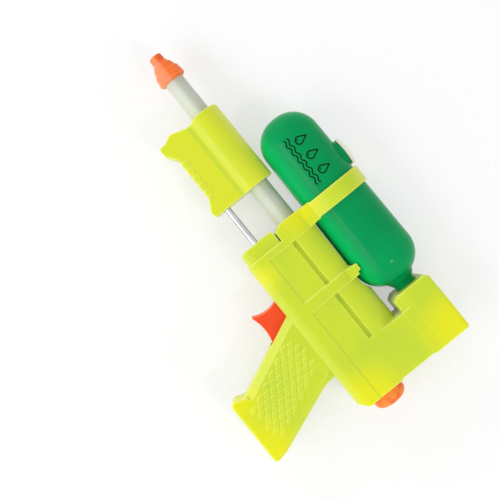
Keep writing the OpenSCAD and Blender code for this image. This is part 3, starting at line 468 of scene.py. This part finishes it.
def spring_piece():
    """Round wire coil of the trigger spring at one length; the real one shortens as the trigger comes back.
    """
    low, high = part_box("trigger_spring")
    radius = (high[1] - low[1]) / 2 - WIRE_RADIUS
    centre = [(a + b) / 2 for a, b in zip(low, high)]
    mesh_data = bmesh.new()
    rings = []
    count = SPRING_TURNS * SPRING_STEPS
    for i in range(count + 1):
        turn = 2 * math.pi * i / SPRING_STEPS
        x = low[0] + WIRE_RADIUS + (high[0] - low[0] - 2 * WIRE_RADIUS) * i / count
        ring = []
        for k in range(WIRE_EDGES):
            tilt = 2 * math.pi * k / WIRE_EDGES
            r = radius + WIRE_RADIUS * math.cos(tilt)
            y, z = centre[1] + r * math.cos(turn), centre[2] + r * math.sin(turn)
            ring.append(mesh_data.verts.new((x + WIRE_RADIUS * math.sin(tilt), y, z)))
        rings.append(ring)
    for a, b in zip(rings, rings[1:]):
        for k in range(WIRE_EDGES):
            n = (k + 1) % WIRE_EDGES
            mesh_data.faces.new((a[k], b[k], b[n], a[n]))
    mesh_data.faces.new(rings[0])
    mesh_data.faces.new(reversed(rings[-1]))
    bmesh.ops.recalc_face_normals(mesh_data, faces=mesh_data.faces)
    mesh = bpy.data.meshes.new("spring_wire")
    mesh_data.to_mesh(mesh)
    mesh_data.free()
    mesh.shade_smooth()
    piece = link("spring_wire", mesh)
    dress(piece, "steel", BODY_OF["trigger_spring"], "steel", "trigger_spring")
    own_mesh(piece)


# Print on the tank: three drops over a double wave. Strokes are (x, y) in the toy's lines, and LOOK_FROM is
# the height over the toy from which the tank's surface is looked for.

LOOK_FROM = 30
DROP_STEP = 0.25
WAVE_STEP = 0.2
PRINT_WIDTH = 0.3
GLINT_WIDTH = 0.21
PRINT_PROUD = 0.03
PRINT_DEPTH = 0.08
DROPS_X = (39.4, 43.8, 48.2)
DROP_Y = 13.9
DROP_RADIUS = 0.95
DROP_HEIGHT = 2.2
GLINT_RADIUS = 0.52
GLINT_ANGLES = (190, 265)
WAVES_Y = (11.75, 10.85)
WAVE_ENDS = (37.2, 50.4)
WAVE_HEIGHT = 0.26
WAVE_LENGTH = 2.2


def drop_stroke(x, y, radius, height, steps=44):
    """Closed outline of a drop, its tip up."""
    side = math.acos(radius / height)
    points = [(x, y + height)]
    for i in range(steps):
        turn = math.pi / 2 - side - (2 * math.pi - 2 * side) * i / (steps - 1)
        points.append((x + radius * math.cos(turn), y + radius * math.sin(turn)))
    closed = []
    for (ax, ay), (bx, by) in zip(points, points[1:] + points[:1]):
        parts = max(1, round(math.dist((ax, ay), (bx, by)) / DROP_STEP))
        closed += [(ax + (bx - ax) * k / parts, ay + (by - ay) * k / parts) for k in range(parts)]
    return closed


def wave_stroke(x0, x1, y, height, length):
    steps = round((x1 - x0) / WAVE_STEP)
    away = [(x1 - x0) * i / steps for i in range(steps + 1)]
    return [(x0 + d, y + height * math.sin(2 * math.pi * d / length)) for d in away]


def arc_stroke(x, y, radius, low, high, steps=14):
    turns = [math.radians(low + (high - low) * i / steps) for i in range(steps + 1)]
    return [(x + radius * math.cos(a), y + radius * math.sin(a)) for a in turns]


def print_piece(name, strokes, ground, material, body, slot):
    """Thin raised strokes that follow the ground piece's surface, seen from the left side."""
    tree = BVHTree.FromObject(ground, bpy.context.evaluated_depsgraph_get())
    made = bmesh.new()

    def on_ground(x, y):
        place, normal, _, _ = tree.ray_cast(at(x, y, LOOK_FROM), Vector((0, 0, -1)))
        return place, normal

    for points, width, closed in strokes:
        n = len(points)
        rows = []
        for i, (x, y) in enumerate(points):
            before = points[i - 1] if closed or i else points[0]
            after = points[(i + 1) % n] if closed or i < n - 1 else points[-1]
            along = (Vector(after) - Vector(before)).normalized()
            across = Vector((-along.y, along.x)) * width / 2
            corners = [on_ground(x + across.x, y + across.y), on_ground(x - across.x, y - across.y)]
            rows.append([made.verts.new(p + m * PRINT_PROUD * MM) for p, m in corners]
                        + [made.verts.new(p - m * PRINT_DEPTH * MM) for p, m in reversed(corners)])
        for a, b in zip(rows, rows[1:] + (rows[:1] if closed else [])):
            for k in range(4):
                made.faces.new((a[k], a[(k + 1) % 4], b[(k + 1) % 4], b[k]))
        if not closed:
            made.faces.new(reversed(rows[0]))
            made.faces.new(rows[-1])
    bmesh.ops.recalc_face_normals(made, faces=made.faces)
    mesh = bpy.data.meshes.new(name)
    made.to_mesh(mesh)
    made.free()
    dress(link(name, mesh), material, body, slot)


def tank_print(tank):
    strokes = []
    for x in DROPS_X:
        strokes.append((drop_stroke(x, DROP_Y, DROP_RADIUS, DROP_HEIGHT), PRINT_WIDTH, True))
        strokes.append((arc_stroke(x, DROP_Y, GLINT_RADIUS, *GLINT_ANGLES), GLINT_WIDTH, False))
    for y in WAVES_Y:
        strokes.append((wave_stroke(*WAVE_ENDS, y, WAVE_HEIGHT, WAVE_LENGTH), PRINT_WIDTH, False))
    print_piece("tank_print", strokes, tank, "print", "body", "tank")


# Floor and light

# Half width of the floor in metres, how much of the plain white background it shows near the toy, the
# distances over which it turns wholly into that white, its two tones and the span of noise between them
FLOOR_REACH = 3.0
FLOOR_WHITE = 0.5
FLOOR_FADE = (0.12, 0.6)
FLOOR_TONES = ((0.9, 0.9, 0.9, 1), (0.93, 0.93, 0.93, 1))
FLOOR_SPECKS = (0.3, 0.7)

# Colour and strength of the sky as light on the toy
WORLD_TINT = (0.99, 0.995, 1.0, 1)
WORLD_LIGHT = 0.61


def shows_background(t):
    """1 for the rays that look at the background: straight, in a reflection or through something clear."""
    ray = t.node("LightPath").outputs
    seen = t.math("MAXIMUM", ray["Is Camera Ray"], ray["Is Glossy Ray"])
    return t.math("MAXIMUM", seen, ray["Is Transmission Ray"])


def make_floor():
    mesh = bpy.data.meshes.new("floor")
    far = FLOOR_REACH
    mesh.from_pydata([(-far, -far, 0), (far, -far, 0), (far, far, 0), (-far, far, 0)], [], [(0, 1, 2, 3)])
    floor = link("floor", mesh)
    material, t = new_material("pale_floor")
    place = t.node("TexCoord").outputs["Object"]
    speck = t.node("TexNoise", {"Vector": place, "Scale": 900.0}).outputs["Fac"]
    tone = t.mix(t.ramp(speck, *FLOOR_SPECKS), *FLOOR_TONES)
    shader = t.node("BsdfPrincipled", {"Base Color": tone, "Roughness": 0.8, "Specular IOR Level": 0.2})
    white = t.node("Emission", {"Color": (1, 1, 1, 1), "Strength": 1.0})
    away = t.ramp(t.node("VectorMath", {0: place}, operation="LENGTH").outputs["Value"], *FLOOR_FADE)
    seen = t.math("ADD", FLOOR_WHITE, t.math("MULTIPLY", away, 1.0 - FLOOR_WHITE))
    seen = t.math("MULTIPLY", shows_background(t), seen)
    mixed = t.node("MixShader", {0: seen, 1: shader.outputs[0], 2: white.outputs[0]})
    t.node("OutputMaterial", {"Surface": mixed.outputs[0]})
    mesh.materials.append(material)


def make_world():
    world = bpy.data.worlds.new("World")
    bpy.context.scene.world = world
    world.use_nodes = True
    world.node_tree.nodes.clear()
    t = Tree(world.node_tree)
    light = t.node("Background", {"Color": WORLD_TINT, "Strength": WORLD_LIGHT})
    white = t.node("Background", {"Color": (1, 1, 1, 1), "Strength": 1.0})
    mixed = t.node("MixShader", {0: shows_background(t), 1: light.outputs[0], 2: white.outputs[0]})
    t.node("OutputWorld", {"Surface": mixed.outputs[0]})


# name, tilt from the vertical, direction in the toy's lines (degrees from x), distance mm, size mm, power,
# whether reflections show it
LIGHTS = [
    ("window", 44, -100, 420, (240, 110), 0.26, True),
    ("side_card", 58, -85, 520, (700, 340), 0.92, True),
    ("front_card", 70, 178, 480, (260, 260), 0.85, False),
    ("rear_card", 37, 12, 500, (66, 52), 0.26, True),
    ("rear_side_card", 70, 20, 520, (260, 200), 0.6, False),
]


# The point that the lamps look at
LAMPS_AIM = (52, -8, 4)


def make_lights():
    centre = at(*LAMPS_AIM)
    for name, tilt, direction, distance, size, power, reflected in LIGHTS:
        data = bpy.data.lights.new(name, "AREA")
        data.shape = "RECTANGLE"
        data.size, data.size_y = size[0] * MM, size[1] * MM
        data.energy = power
        lamp = link(name, data)
        lamp.visible_glossy = reflected
        a, b = math.radians(tilt), math.radians(direction)
        out = Vector((math.sin(a) * math.cos(b), math.sin(a) * math.sin(b), math.cos(a)))
        lamp.location = centre + out * distance * MM
        lamp.rotation_euler = out.to_track_quat("Z", "Y").to_euler()


make_camera()
moulded = {}
for soft_node, (voxel_mm, smoothing, own_material) in SOFT_NODES.items():
    moulded[soft_node] = soften(soft_node, voxel_mm, smoothing, own_material)
tank_print(moulded["tank"])
spring_piece()
for plain_node, plain_object in frame["nodes"].items():
    if plain_node not in SOFT_NODES and plain_node != "trigger_spring":
        for place in plain_object.material_slots:
            place.link = "OBJECT"
            place.material = MATERIALS[SLOT_OF[plain_node]]
make_floor()
make_world()
make_lights()
bpy.context.scene.view_settings.view_transform = "Standard"

import json
